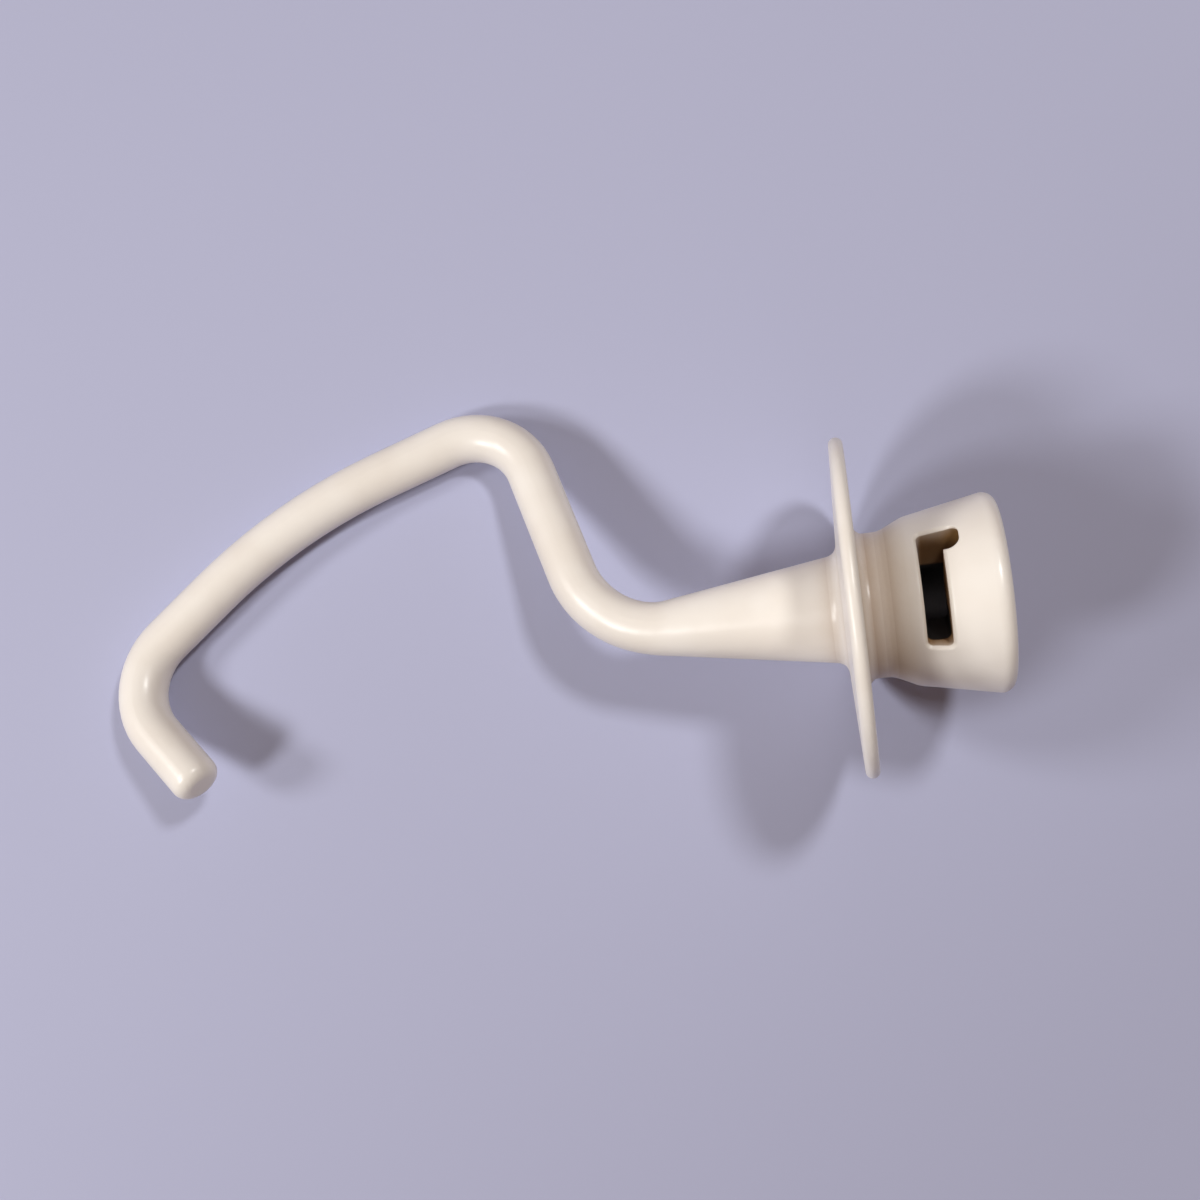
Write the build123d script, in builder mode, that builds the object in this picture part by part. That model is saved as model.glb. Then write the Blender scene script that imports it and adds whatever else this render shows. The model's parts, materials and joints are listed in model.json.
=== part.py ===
"""Dough hook of a stand mixer, cast in one piece and coated.

A tapered horn grows out of a round guard disc, bends down through an elbow and runs on as a round
rod: down a leg, round a crook, along a bowed arm and round a heel to a blunt tip. Behind the guard
a collar flares into the hub, which slips over the mixer's shaft and hangs on the shaft's cross pin
by a bayonet: a groove lets the pin in from the mouth, and a slot through the wall lets it turn.

The hook lies as it comes to rest on a table, on the rim of the guard and on the arm. X runs along
the shaft towards the hub's mouth, Y towards the crook and Z up. Lengths are in millimetres.
"""
import os
from math import asin, atan2, cos, hypot, radians, sin, tan

from build123d import *

# Lie on the table: rise of the shaft axis towards the mouth, in degrees
SHAFT_LEAN = 10.0

# Guard disc, square to the shaft, with a rounded rim, a flat face to the hub and a drafted one to
# the hook
DISC_DIAMETER = 60.0
RIM_THICKNESS = 2.5
RIM_DEPTH = 1.2             # of the rounded stretch, towards the shaft
DISC_DRAFT = 2.0            # slope of the drafted face, in degrees

# Collar, flare and hub, behind the guard
COLLAR_DIAMETER = 25.6
COLLAR_LENGTH = 4.2
ROOT_LENGTH = 1.6           # rounding of the collar's root, along the collar and up the disc
ROOT_HEIGHT = 1.8
FLARE_LENGTH = 4.2
FLARE_ROUND = 4.0
SHOULDER_DIAMETER = 29.6
SHOULDER_ROUND = 5.0
HUB_LENGTH = 16.0
MOUTH_DIAMETER = 35.8
MOUTH_ROUND = 2.2

# Socket for the shaft
SHAFT_DIAMETER = 12.7
SHAFT_CLEARANCE = 0.1
SOCKET_FLOOR = 1.8          # from the middle of the rim to the end of the bore
LEAD_IN = 0.8               # width of the bevel at the mouth
LEAD_IN_ANGLE = 90.0

# Bayonet for the cross pin, with angles about the shaft, upwards from level on the crook's side
PIN_DIAMETER = 3.5
PIN_CLEARANCE = 0.3
PIN_REACH = 11.0            # from the shaft axis to the end of the pin
PIN_FROM_MOUTH = 12.3
SLOT_START = 43.0           # end of the slot where the pin comes in
SLOT_SWEEP = 77.0
SLOT_CORNER = 0.9
GROOVE_BREAKOUT = 4.6       # from the middle of the slot to where the groove's roof leaves the wall
GROOVE_FLAT = 1.0           # left between the roundings of the roof
EDGE_BEVEL = 0.5

# Horn, a cone from the disc to the elbow, where its neck narrows on to the rod
HORN_DIAMETER = 19.4
HORN_FOOT = 2.0             # rounding at the disc
NECK_DIAMETER = 10.2
ELBOW_SECTIONS = 7          # circles that the elbow is drawn through

# Rod, with corners of its line measured from the disc away from the hub, and out to the side of
# the upright plane through the shaft, which the heel lies in
ROD_DIAMETER = 9.2
ELBOW_DISTANCE = 46.2
ELBOW_RADIUS = 18.5
CROOK_DISTANCE = 57.8
CROOK_OFFSET = 43.8
CROOK_RADIUS = 12.5
BOW_DISTANCE = 102.7
BOW_OFFSET = 28.7
BOW_RADIUS = 115.0
HEEL_DISTANCE = 139.0
HEEL_RADIUS = 12.8
TIP_DISTANCE = 122.2
TIP_OFFSET = -19.6
TIP_HEIGHT = 14.5
TIP_ROUND = 2.4

# Radii and distances along the shaft from the middle of the rim
rim_face = RIM_THICKNESS / 2
disc_radius = DISC_DIAMETER / 2
collar_radius = COLLAR_DIAMETER / 2
shoulder_radius = SHOULDER_DIAMETER / 2
mouth_radius = MOUTH_DIAMETER / 2
bore_radius = SHAFT_DIAMETER / 2 + SHAFT_CLEARANCE
horn_radius = HORN_DIAMETER / 2
neck_radius = NECK_DIAMETER / 2
rod_radius = ROD_DIAMETER / 2
collar_end = rim_face + COLLAR_LENGTH
drafted_face = rim_face + (disc_radius - horn_radius) * tan(radians(DISC_DRAFT))
shoulder = collar_end + FLARE_LENGTH
mouth = shoulder + HUB_LENGTH
slot_middle = mouth - PIN_FROM_MOUTH
slot_width = PIN_DIAMETER + 2 * PIN_CLEARANCE
groove_end = slot_middle - slot_width / 2

# The shoulder's rounding ends short of the slot's bevel
flare_angle = atan2(shoulder_radius - collar_radius, FLARE_LENGTH)
wall_angle = atan2(mouth_radius - shoulder_radius, HUB_LENGTH)
shoulder_room = (groove_end - EDGE_BEVEL - shoulder) / cos(wall_angle)
shoulder_round = min(SHOULDER_ROUND, shoulder_room / tan(abs(flare_angle - wall_angle) / 2))

# The shaft axis is as high above the table as the rounded rim needs when it leans
lean = radians(SHAFT_LEAN)
rim_middle = disc_radius - RIM_DEPTH
axis_height = rim_middle * cos(lean) + hypot(RIM_DEPTH * cos(lean), rim_face * sin(lean))
disc_centre = Vector(0, 0, axis_height)
shaft_direction = Vector(cos(lean), 0, sin(lean))
shaft = Axis(disc_centre, shaft_direction)


def on_shaft(distance):
    """Plane square to the shaft, facing the mouth, with its x axis level towards the crook's side."""
    return Plane(disc_centre + shaft_direction * distance, x_dir=(0, 1, 0), z_dir=shaft_direction)


def wall_radius(distance):
    """Radius of the hub's wall at a distance along the shaft."""
    return shoulder_radius + (mouth_radius - shoulder_radius) * (distance - shoulder) / HUB_LENGTH


def on_wall(edge):
    """Whether an edge's middle lies on the hub's wall."""
    place = on_shaft(0).to_local_coords(edge @ 0.5)
    return abs(hypot(place.X, place.Y) - wall_radius(place.Z)) < EDGE_BEVEL


# Line of the hook: the arm lies along the table, and the tip stands up from it
elbow = disc_centre - shaft_direction * ELBOW_DISTANCE
crook = Vector(-CROOK_DISTANCE, CROOK_OFFSET, rod_radius)
bow = Vector(-BOW_DISTANCE, BOW_OFFSET, rod_radius)
heel = Vector(-HEEL_DISTANCE, 0, rod_radius)
tip = Vector(-TIP_DISTANCE, TIP_OFFSET, TIP_HEIGHT)

with BuildLine() as horn_line:
    FilletPolyline(disc_centre, elbow, crook, radius=ELBOW_RADIUS)
bend = horn_line.edges().filter_by(GeomType.CIRCLE)[0]
neck = (bend @ 0 - disc_centre).length
horn_slope = (horn_radius - neck_radius) / (neck - drafted_face)

with BuildLine() as rod_line:
    FilletPolyline(bend @ 1, crook, bow, heel, tip, radius=[CROOK_RADIUS, BOW_RADIUS, HEEL_RADIUS])

# Slot that the cross pin turns in, a ring segment round the shaft
with BuildPart() as slot:
    with BuildSketch(on_shaft(slot_middle)):
        with BuildLine():
            inside = CenterArc((0, 0), bore_radius / 2, SLOT_START, SLOT_SWEEP)
            outside = CenterArc((0, 0), disc_radius, SLOT_START, SLOT_SWEEP)
            Line(inside @ 0, outside @ 0)
            Line(inside @ 1, outside @ 1)
        make_face()
    extrude(amount=slot_width / 2, both=True)
    fillet(slot.edges().filter_by(GeomType.LINE).filter_by(shaft, reverse=True), SLOT_CORNER)

# Groove that lets the pin in from the mouth, with a sloping roof that breaks out beside the slot
pin_room = PIN_REACH + PIN_CLEARANCE
breakout = slot_middle + GROOVE_BREAKOUT
roof_slope = (wall_radius(breakout) - pin_room) / (mouth - breakout)
end_roof = pin_room + roof_slope * (mouth - groove_end)
groove_angle = radians(SLOT_START) + asin(slot_width / 2 / wall_radius(breakout))
groove_up = on_shaft(0).x_dir * cos(groove_angle) + on_shaft(0).y_dir * sin(groove_angle)
groove_side = shaft_direction.cross(groove_up)
with BuildPart() as groove:
    with BuildSketch(Plane(disc_centre, x_dir=shaft_direction, z_dir=groove_side)):
        with BuildLine():
            roof = Line((mouth, pin_room), (groove_end, end_roof))
            Polyline(roof @ 1, (groove_end, 0), (mouth, 0), roof @ 0)
        make_face()
    extrude(amount=slot_width / 2, both=True)
    roof_face = groove.faces().sort_by(Axis(disc_centre, groove_up))[-1]
    roof_edges = roof_face.edges().filter_by(Axis(disc_centre, groove_side), reverse=True)
    fillet(roof_edges, (slot_width - GROOVE_FLAT) / 2)
    end_face = groove.faces().sort_by(shaft)[0]
    fillet(end_face.edges().filter_by(Axis(disc_centre, groove_up)), SLOT_CORNER)

with BuildPart() as bayonet:
    add(slot.part)
    add(groove.part)

with BuildPart() as hook:
    # Horn, guard, collar, flare and hub: a half section turned about the shaft
    with BuildSketch(Plane(disc_centre, x_dir=shaft_direction, z_dir=(0, 1, 0))):
        with BuildLine():
            rim = EllipticalCenterArc((0, rim_middle), rim_face, RIM_DEPTH, start_angle=0, arc_size=180)
            foot = Bezier(
                (-drafted_face, horn_radius + HORN_FOOT),
                (-drafted_face, horn_radius),
                (-drafted_face - HORN_FOOT, horn_radius - HORN_FOOT * horn_slope),
            )
            Line(rim @ 1, foot @ 0)
            Polyline(foot @ 1, (-neck, neck_radius), (-neck, 0), (mouth, 0))
            root_middle = (rim_face + ROOT_LENGTH, collar_radius + ROOT_HEIGHT)
            root = EllipticalCenterArc(
                root_middle, ROOT_LENGTH, ROOT_HEIGHT, start_angle=180, arc_size=90
            )
            Line(rim @ 0, root @ 0)
            FilletPolyline(
                root @ 1,
                (collar_end, collar_radius),
                (shoulder, shoulder_radius),
                (mouth, mouth_radius),
                (mouth, 0),
                radius=[FLARE_ROUND, shoulder_round, MOUTH_ROUND],
            )
        make_face()
    revolve(axis=shaft)

    # Elbow, lofted through circles that narrow to the rod, starting at the horn's slope
    narrowing = neck_radius - rod_radius
    ease = horn_slope * bend.length / narrowing
    for step in range(ELBOW_SECTIONS):
        share = step / (ELBOW_SECTIONS - 1)
        with BuildSketch(Plane(bend.location_at(share, x_dir=bend.normal()))):
            Circle(rod_radius + narrowing * (1 - share)**ease)
    loft()

    # Rod, swept from the elbow to the tip
    with BuildSketch(Plane(bend.location_at(1, x_dir=bend.normal()))):
        Circle(rod_radius)
    sweep(path=rod_line.wire())
    fillet(hook.faces().sort_by_distance(tip)[0].edges(), TIP_ROUND)

    # Socket and bayonet
    with Locations(on_shaft(mouth)):
        bore_depth = mouth - SOCKET_FLOOR
        CounterSinkHole(bore_radius, bore_radius + LEAD_IN, bore_depth, LEAD_IN_ANGLE)
    add(bayonet.part, mode=Mode.SUBTRACT)
    chamfer(hook.edges(Select.LAST).filter_by(on_wall).sort_by(shaft), EDGE_BEVEL)

# The origin is in the middle of the part's footprint, on the table
box = hook.part.bounding_box()
dough_hook = Pos(-box.center().X, -box.center().Y, -box.min.Z) * hook.part
dough_hook.label = "dough_hook"

os.makedirs("parts", exist_ok=True)
export_step(dough_hook, "parts/dough_hook.step")
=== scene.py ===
# %% [markdown]
# # The dough hook of a stand mixer
# The hook is one casting under a baked cream coat. Its solid comes from the CAD model, packed as a
# fixed frame, and this lesson gives it the look of the real one: its coat, the bare bore that the
# mixer's shaft goes into, the table that it lies on, the light and the view. Everything is in
# metres and stands where the CAD model says.

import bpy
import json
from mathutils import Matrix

MM = 0.001

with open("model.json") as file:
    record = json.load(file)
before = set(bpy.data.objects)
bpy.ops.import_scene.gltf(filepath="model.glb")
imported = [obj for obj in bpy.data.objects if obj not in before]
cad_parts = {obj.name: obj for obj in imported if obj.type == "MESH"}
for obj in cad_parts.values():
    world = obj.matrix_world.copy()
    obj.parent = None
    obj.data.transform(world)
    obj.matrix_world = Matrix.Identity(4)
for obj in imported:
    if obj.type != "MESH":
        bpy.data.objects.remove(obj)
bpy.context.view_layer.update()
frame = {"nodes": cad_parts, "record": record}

# %% [markdown]
# ## The view
# The photograph was taken from straight above and close by, so that the hub, which stands higher
# than the rod, looks larger than it is. A camera with a long lens would lose that. This one stands
# about where a fit to the photograph puts the real one, 28 cm over the table, and is turned a
# little so that the arm leans as it does there.

# %% The camera
from math import radians

import bpy

IMAGE_SIDE = 1200           # pixels of the photograph, which is square
FOCAL_PIXELS = 1400         # the lens's focal length, in the same pixels
SENSOR_WIDTH = 36           # mm
CAMERA_PLACE = (10.9 * MM, -1.0 * MM, 276 * MM)
CAMERA_TURN = radians(-6.6)
NEAREST_SEEN = 10 * MM

camera = bpy.data.objects.new("camera", bpy.data.cameras.new("camera"))
camera.data.sensor_width = SENSOR_WIDTH
camera.data.lens = SENSOR_WIDTH * FOCAL_PIXELS / IMAGE_SIDE
camera.data.clip_start = NEAREST_SEEN
camera.location = CAMERA_PLACE
camera.rotation_euler = (0, 0, CAMERA_TURN)
bpy.context.scene.collection.objects.link(camera)
bpy.context.scene.camera = camera
print("Lens:", camera.data.lens, "mm")

# %% [markdown]
# ## Colours and nodes
# Colours are given as sRGB hex values, but Blender mixes light in linear values, so one
# function turns the first into the second. Another adds a node, because a material is little more
# than a list of nodes with their settings, values and links.

# %% Helpers for every material
def linear(hex_colour):
    """The linear RGBA of an sRGB hex colour."""
    channels = [int(hex_colour[i:i + 2], 16) / 255 for i in (1, 3, 5)]
    return [c / 12.92 if c <= 0.04045 else ((c + 0.055) / 1.055) ** 2.4 for c in channels] + [1]


def add_node(owner, kind, sockets=None, **settings):
    """A node with its settings. Each socket, by name or number, gets a value or a link."""
    node = owner.node_tree.nodes.new(kind)
    for name, value in settings.items():
        setattr(node, name, value)
    for socket, value in (sockets or {}).items():
        if isinstance(value, bpy.types.NodeSocket):
            owner.node_tree.links.new(value, node.inputs[socket])
        else:
            node.inputs[socket].default_value = value
    return node


def new_material(name):
    """An empty material and the socket of its Object coordinates."""
    material = bpy.data.materials.new(name)
    material.use_nodes = True
    material.node_tree.nodes.clear()
    return material, add_node(material, "ShaderNodeTexCoord").outputs["Object"]


print("A middle grey, #808080, is only", round(linear("#808080")[0], 2), "in linear light")

# %% [markdown]
# ## The coat's colour
# A hook like this is sprayed with powder and baked, which leaves a smooth, thick skin of plastic in
# a warm cream white. The skin is a little thicker here and thinner there, so its colour drifts
# softly over a centimetre or two. In corners the colour is painted darker and more tan: painted
# shade, for the shadow and warm bounced light that gather there. Painting the corners by hand
# would take a mask for each. An ambient occlusion node finds them by itself, on the hook's own
# surface.

# %% Cream, with painted shade in the corners
THIN_CREAM = linear("#EFE7DC")
THICK_CREAM = linear("#F8F2E9")
CORNER_SHADE_TAN = linear("#9C7648")
DRIFT_SIZE = 14 * MM        # of the patches where the skin is thicker or thinner
THIN, THICK = 0.25, 0.75    # values of the drift's noise, which seldom goes beyond them
CORNER_REACH = 9 * MM       # how far away a wall still makes a corner
CORNER_SHADE_START = 0.95            # the share of open space over a point where the tan starts
CORNER_SHADE_FULL = 0.35             # and where it is full

coat, place = new_material("cream_powder_coat_and_painted_shade")
drift = add_node(
    coat, "ShaderNodeTexNoise", {"Vector": place, "Scale": 1 / DRIFT_SIZE, "Detail": 2},
).outputs["Fac"]
cream = add_node(coat, "ShaderNodeValToRGB", {"Fac": drift})
cream.color_ramp.interpolation = "EASE"
thin_stop, thick_stop = cream.color_ramp.elements
thin_stop.position, thin_stop.color = THIN, THIN_CREAM
thick_stop.position, thick_stop.color = THICK, THICK_CREAM

# Painted shade: ambient occlusion turns the cream tan in corners, where shadow falls.
openness = add_node(
    coat, "ShaderNodeAmbientOcclusion", {"Distance": CORNER_REACH}, only_local=True, samples=16,
)
corner = add_node(
    coat, "ShaderNodeMapRange",
    {"Value": openness.outputs["AO"], "From Min": CORNER_SHADE_START, "From Max": CORNER_SHADE_FULL},
    interpolation_type="SMOOTHSTEP",
)
# The colour sockets of a mix are its inputs 6 and 7 and its output 2
# The cream with the painted corner shade mixed in
cream_and_corner_shade = add_node(
    coat, "ShaderNodeMix",
    {0: corner.outputs["Result"], 6: cream.outputs["Color"], 7: CORNER_SHADE_TAN}, data_type="RGBA",
).outputs[2]
print("Coat's colour:", len(coat.node_tree.nodes), "nodes")

# %% [markdown]
# ## The bore, the slot and the pin's seat
# The socket of such a hook is bored after casting, and the shaft's sliding keeps it bare, so the
# coat ends at its mouth. The bare metal is painted nearly black, which is painted shade for the
# deep socket. The far end of the slot, where the shaft's cross pin sits, is as dark as the inside
# in the photograph, so it gets the same dark metal, as painted shade. The slot's brown walls are
# partly old grease and partly painted shade. All this belongs to the same solid as the coat, and a
# second material would need faces of its own. Masks need none: ellipsoids round the bore, the slot
# and the pin's seat, placed from the mounts in the record. A little noise frays the line where the
# coat ends.

# %% Places in the socket
from mathutils import Quaternion, Vector

PIN_SEAT_TURN = radians(35)     # from the middle of the slot to the pin's seat, about the shaft
PIN_SEAT_RADIUS = 9.5 * MM      # from the shaft's axis to the middle of the seat

mounts = {mount["name"]: mount for mount in frame["record"]["mounts"]}
bore, slot = mounts["shaft_bore"], mounts["pin_slot"]
bore_axis = Vector(bore["axis"])
bore_mouth = Vector(bore["pos_m"])
bore_middle = bore_mouth - bore_axis * bore["dims"]["length_mm"] * MM / 2
bore_turn = bore_axis.to_track_quat("X", "Z").to_euler()
slot_middle = bore_mouth + bore_axis * (Vector(slot["pos_m"]) - bore_mouth).dot(bore_axis)
pin_side = Quaternion(bore_axis, PIN_SEAT_TURN) @ Vector(slot["axis"])
pin_seat = slot_middle + pin_side * PIN_SEAT_RADIUS
print("Pin's seat:", [round(c / MM, 1) for c in pin_seat], "mm")

# %% Masks round these places
BARE_HALF_LENGTH = 40 * MM      # far past both ends of the bore, so its mask is nearly a cylinder
COAT_MARGIN = 1.5 * MM          # from the bore's wall to the edge of its mask
SEAT_HALF = 4 * MM
SLOT_HALF_LENGTH = 13.5 * MM
SLOT_REACH = 14.5 * MM          # from the axis, just under the hub's outer wall


def inside(owner, place, middle, half_sizes, turn=(0, 0, 0)):
    """A socket that falls from 1 in the middle of an ellipsoid to 0 at its surface and beyond."""
    ellipsoid = add_node(
        owner, "ShaderNodeMapping",
        {"Vector": place, "Location": middle, "Rotation": turn, "Scale": half_sizes},
        vector_type="TEXTURE",
    )
    return add_node(
        owner, "ShaderNodeTexGradient", {"Vector": ellipsoid.outputs["Vector"]},
        gradient_type="SPHERICAL",
    ).outputs["Fac"]


bare_reach = bore["dims"]["r_mm"] * MM + COAT_MARGIN
in_bore = inside(coat, place, bore_middle, (BARE_HALF_LENGTH, bare_reach, bare_reach), bore_turn)
# The pin's seat gets the dark metal as painted shade.
seat_painted_dark = inside(coat, place, pin_seat, (SEAT_HALF, SEAT_HALF, SEAT_HALF))
in_slot = inside(coat, place, slot_middle, (SLOT_HALF_LENGTH, SLOT_REACH, SLOT_REACH), bore_turn)
print("The bore's mask ends", round(bare_reach / MM, 2), "mm from the axis")

# %% Where the coat ends, and where the slot is brown with grease and painted shade
FRAY_SIZE = 1.2 * MM
FRAY = 0.06                     # the most that the noise moves the coat's end into the mask
BARE_FROM = 0.1                 # the mask's value from where the metal is quite bare
# The slot's brown, and how much of the coat it covers, stand for old grease and painted shade
# together.
GREASE_AND_SHADE_BROWN = linear("#7A5B3D")
GREASE_AND_SHADE_COVER = 0.85             # the most of the coat's colour that the grease hides
GREASE_AND_SHADE_FROM = 0.2               # the slot mask's value from where it hides that much

fray = add_node(coat, "ShaderNodeTexNoise", {"Vector": place, "Scale": 1 / FRAY_SIZE})
coat_end = add_node(coat, "ShaderNodeMapRange", {"Value": fray.outputs["Fac"], "To Max": FRAY})
# Dark metal in the bore, and painted shade as dark metal at the pin's seat
bare_and_seat_shade = add_node(coat, "ShaderNodeMath", {0: in_bore, 1: seat_painted_dark}, operation="MAXIMUM")
dark_metal_share = add_node(
    coat, "ShaderNodeMapRange",
    {
        "Value": bare_and_seat_shade.outputs["Value"],
        "From Min": coat_end.outputs["Result"], "From Max": BARE_FROM,
    },
)
greasy_and_shaded = add_node(
    coat, "ShaderNodeMapRange",
    {"Value": in_slot, "From Max": GREASE_AND_SHADE_FROM, "To Max": GREASE_AND_SHADE_COVER},
    interpolation_type="SMOOTHSTEP",
)
coat_colour = add_node(
    coat, "ShaderNodeMix",
    {0: greasy_and_shaded.outputs["Result"], 6: cream_and_corner_shade, 7: GREASE_AND_SHADE_BROWN}, data_type="RGBA",
).outputs[2]
print("Coat's colour and masks:", len(coat.node_tree.nodes), "nodes")

# %% [markdown]
# ## The coat's skin
# The skin is glossy, but not as sharp as glass. It has orange peel, shallow dimples a millimetre or
# two apart, so highlights have soft, slightly uneven edges. It also flows round sharp edges as it
# bakes. A bevel node gives that softness to the light without another face on the model.

# %% Gloss, dimples and soft edges
THIN_ROUGHNESS = 0.36
THICK_ROUGHNESS = 0.28          # a thick skin flows out smoother as it bakes
PEEL_SIZE = 2.2 * MM
PEEL_DEPTH = 0.035 * MM
SKIN_ROUND = 0.5 * MM           # of the edges under the skin
PLASTIC_IOR = 1.5

gloss = add_node(
    coat, "ShaderNodeMapRange",
    {
        "Value": drift, "From Min": THIN, "From Max": THICK,
        "To Min": THIN_ROUGHNESS, "To Max": THICK_ROUGHNESS,
    },
)
soft_edges = add_node(coat, "ShaderNodeBevel", {"Radius": SKIN_ROUND}, samples=8)
peel = add_node(
    coat, "ShaderNodeTexNoise", {"Vector": place, "Scale": 1 / PEEL_SIZE, "Detail": 1},
)
dimples = add_node(
    coat, "ShaderNodeBump",
    {
        "Height": peel.outputs["Fac"], "Normal": soft_edges.outputs["Normal"],
        "Strength": 1, "Distance": PEEL_DEPTH,
    },
)
skin = add_node(
    coat, "ShaderNodeBsdfPrincipled",
    {
        "Base Color": coat_colour, "Roughness": gloss.outputs["Result"],
        "Normal": dimples.outputs["Normal"], "IOR": PLASTIC_IOR,
    },
)
print("Orange peel:", round(PEEL_SIZE / MM, 1), "mm apart")

# %% [markdown]
# ## The bare metal
# Where the coat ends, cast aluminium shows. It is painted nearly black, as painted shade for the
# dark socket, so it has no bright reflections, only a dull sheen over the fine rings that the
# boring tool left. Rings could be cut into the model, but they are far too fine for that. A wave
# texture along the shaft's axis gives them to the light.

# %% Aluminium painted dark as shade, with boring rings
from math import tau

# Partly bare aluminium, and partly painted shade that makes it nearly black
ALUMINIUM_AND_PAINTED_SHADE = linear("#4B4742")
METAL_ROUGHNESS = 0.5
RING_PITCH = 0.6 * MM           # drawn about three times as coarse as real, to show
RING_DEPTH = 0.01 * MM
RING_WANDER = 0.5               # so that the rings aren't perfect circles
WAVE_LENGTH = tau / 20          # of a wave texture at scale 1

along_bore = add_node(
    coat, "ShaderNodeMapping", {"Vector": place, "Location": bore_middle, "Rotation": bore_turn},
    vector_type="TEXTURE",
)
rings = add_node(
    coat, "ShaderNodeTexWave",
    {
        "Vector": along_bore.outputs["Vector"],
        "Scale": WAVE_LENGTH / RING_PITCH, "Distortion": RING_WANDER,
    },
)
ring_bump = add_node(
    coat, "ShaderNodeBump",
    {"Height": rings.outputs["Fac"], "Strength": 1, "Distance": RING_DEPTH},
)
metal = add_node(
    coat, "ShaderNodeBsdfPrincipled",
    {
        "Base Color": ALUMINIUM_AND_PAINTED_SHADE, "Metallic": 1, "Roughness": METAL_ROUGHNESS,
        "Normal": ring_bump.outputs["Normal"],
    },
)
print("Boring rings:", round(RING_PITCH / MM, 1), "mm apart")

# %% The hook gets its coat
coat_and_metal = add_node(
    coat, "ShaderNodeMixShader",
    {0: dark_metal_share.outputs["Result"], 1: skin.outputs["BSDF"], 2: metal.outputs["BSDF"]},
)
add_node(coat, "ShaderNodeOutputMaterial", {"Surface": coat_and_metal.outputs["Shader"]})

hook = frame["nodes"]["dough_hook"]
hook.material_slots[0].material = coat
print("Hook:", len(hook.data.polygons), "faces,", len(coat.node_tree.nodes), "nodes in its coat")

# %% [markdown]
# ## The table
# The hook lies on a pale, cool grey sheet, matt, so that only the shadows mark it. From the side a
# table's far edge would show as a line. Here the sheet fades, some way from the hook, into the
# backdrop's even colour. Only what the camera sees, directly or in a reflection, gets that colour.
# The hook isn't lit by it.

# %% Rays that see the backdrop
BACKDROP = linear("#C9C8DB")


def seen_rays(owner):
    """A socket that is 1 for rays from the camera, straight, by a reflection or through glass."""
    rays = add_node(owner, "ShaderNodeLightPath").outputs
    seen = rays["Is Camera Ray"]
    for kind in ("Is Glossy Ray", "Is Transmission Ray"):
        either = add_node(owner, "ShaderNodeMath", {0: seen, 1: rays[kind]}, operation="MAXIMUM")
        seen = either.outputs["Value"]
    return seen


print("Backdrop in linear light:", [round(c, 2) for c in BACKDROP[:3]])

# %% The sheet's material
SHEET_GREY = linear("#B7B9D4")
SHEET_ROUGHNESS = 0.8
FADE_START = 130 * MM           # from the middle of the table
FADE_END = 480 * MM

sheet, sheet_place = new_material("pale_grey_sheet")
paper = add_node(
    sheet, "ShaderNodeBsdfPrincipled", {"Base Color": SHEET_GREY, "Roughness": SHEET_ROUGHNESS},
)
glow = add_node(sheet, "ShaderNodeEmission", {"Color": BACKDROP, "Strength": 1})
nearness = inside(sheet, sheet_place, (0, 0, 0), (FADE_END, FADE_END, FADE_END))
fade = add_node(
    sheet, "ShaderNodeMapRange",
    {
        "Value": nearness, "From Min": 1 - FADE_START / FADE_END, "From Max": 0,
        "To Max": seen_rays(sheet),
    },
    interpolation_type="SMOOTHSTEP",
)
faded = add_node(
    sheet, "ShaderNodeMixShader",
    {0: fade.outputs["Result"], 1: paper.outputs["BSDF"], 2: glow.outputs["Emission"]},
)
add_node(sheet, "ShaderNodeOutputMaterial", {"Surface": faded.outputs["Shader"]})
print("Sheet fades from", round(FADE_START / MM), "to", round(FADE_END / MM), "mm")

# %% The table's top
import bmesh

TABLE_SIDE = 6                  # m

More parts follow.
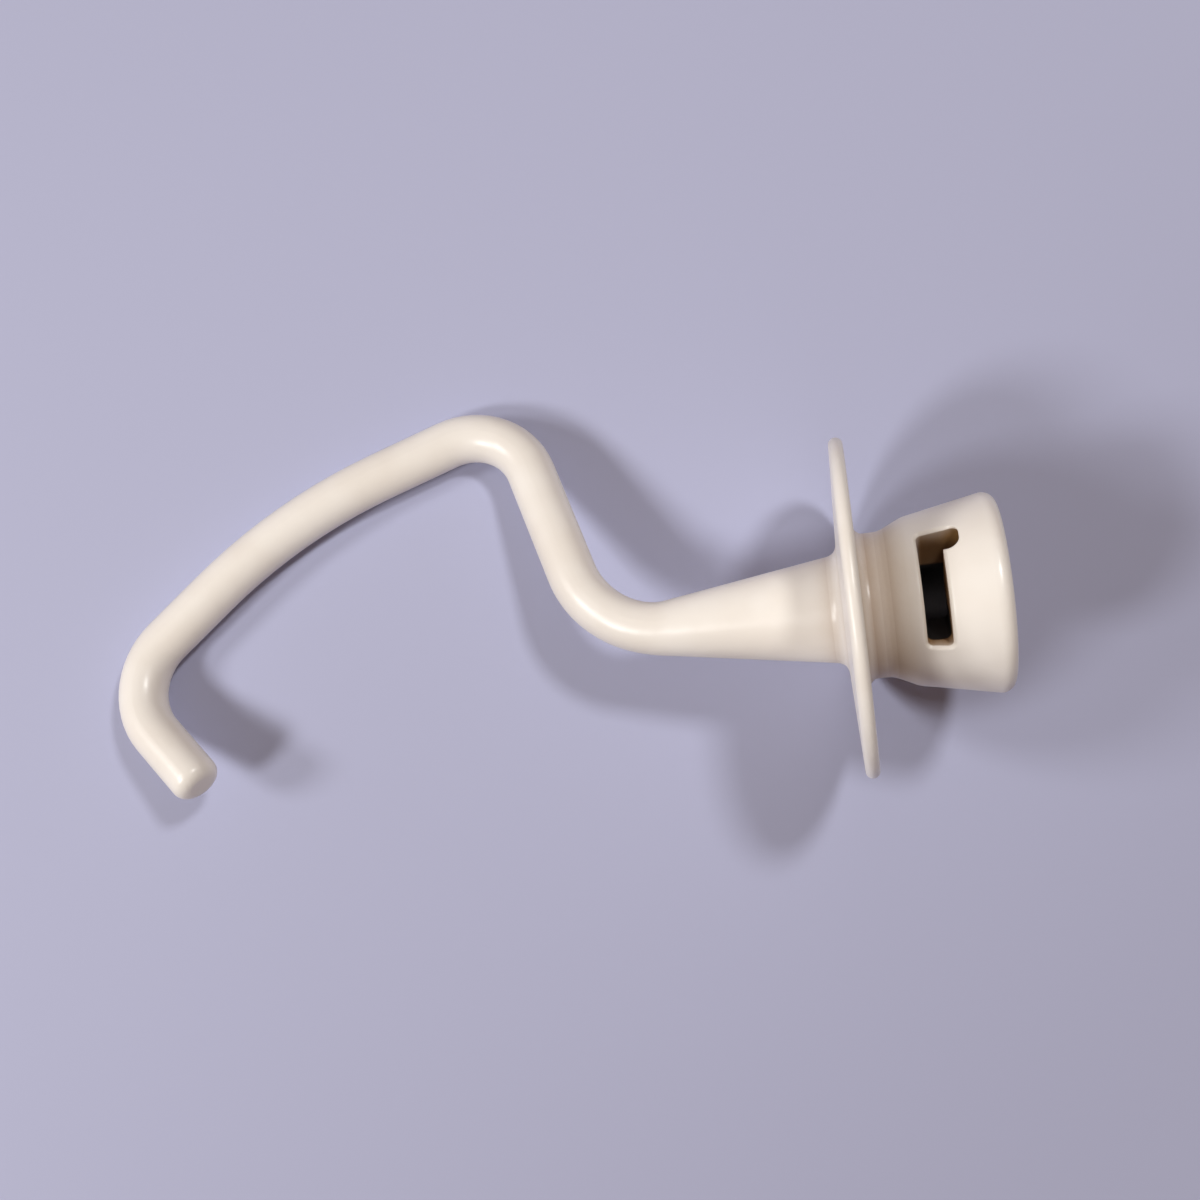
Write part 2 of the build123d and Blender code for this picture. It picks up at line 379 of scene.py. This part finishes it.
top = bmesh.new()
bmesh.ops.create_grid(top, x_segments=1, y_segments=1, size=TABLE_SIDE / 2)
table = bpy.data.objects.new("table", bpy.data.meshes.new("table"))
top.to_mesh(table.data)
top.free()
table.data.materials.append(sheet)
bpy.context.scene.collection.objects.link(table)
print("Table:", TABLE_SIDE, "m wide")

# %% [markdown]
# ## The light
# Three lamps stand round the table, two on the heel's side, one of them farther off and at a
# flatter angle, and a nearer one on the hub's far side. Their directions are about those that the
# shadows in the photograph give, and their distances are partly guessed. They are wide, for soft
# shadows and broad highlights along the rod. A dim, warm sky fills in the rest, so the shaded side
# turns tan instead of grey.

# %% The lamps
LAMPS = (                       # name, place in mm, width in mm, power in W
    ("left_lamp", (-500, -165, 555), 150, 2.25),
    ("far_left_lamp", (-720, 75, 570), 190, 2.6),
    ("right_lamp", (185, 195, 490), 75, 1.1),
)
AIM = Vector((10, 0, 15)) * MM  # near the middle of the hook

for name, spot, width, power in LAMPS:
    lamp = bpy.data.objects.new(name, bpy.data.lights.new(name, "AREA"))
    lamp.data.shape = "DISK"
    lamp.data.size = width * MM
    lamp.data.energy = power
    lamp.location = Vector(spot) * MM
    lamp.rotation_euler = (AIM - lamp.location).to_track_quat("-Z", "Y").to_euler()
    lamp.visible_camera = False
    bpy.context.scene.collection.objects.link(lamp)
    print(name, round((AIM - lamp.location).length, 3), "m from the hook")

# %% The sky
FILL_COLOUR = linear("#FFCB96")
FILL_STRENGTH = 0.12

sky = bpy.data.worlds.new("sky")
sky.use_nodes = True
sky.node_tree.nodes.clear()
fill = add_node(
    sky, "ShaderNodeBackground", {"Color": FILL_COLOUR, "Strength": FILL_STRENGTH},
)
backdrop = add_node(sky, "ShaderNodeBackground", {"Color": BACKDROP, "Strength": 1})
shown = add_node(
    sky, "ShaderNodeMixShader",
    {0: seen_rays(sky), 1: fill.outputs["Background"], 2: backdrop.outputs["Background"]},
)
add_node(sky, "ShaderNodeOutputWorld", {"Surface": shown.outputs["Shader"]})
bpy.context.scene.world = sky
print("Sky's strength:", FILL_STRENGTH)

# %% [markdown]
# ## The end
# The colours go to the picture as they are written, without a film look over them.

# %% Finish
import json

bpy.context.scene.view_settings.view_transform = "Standard"
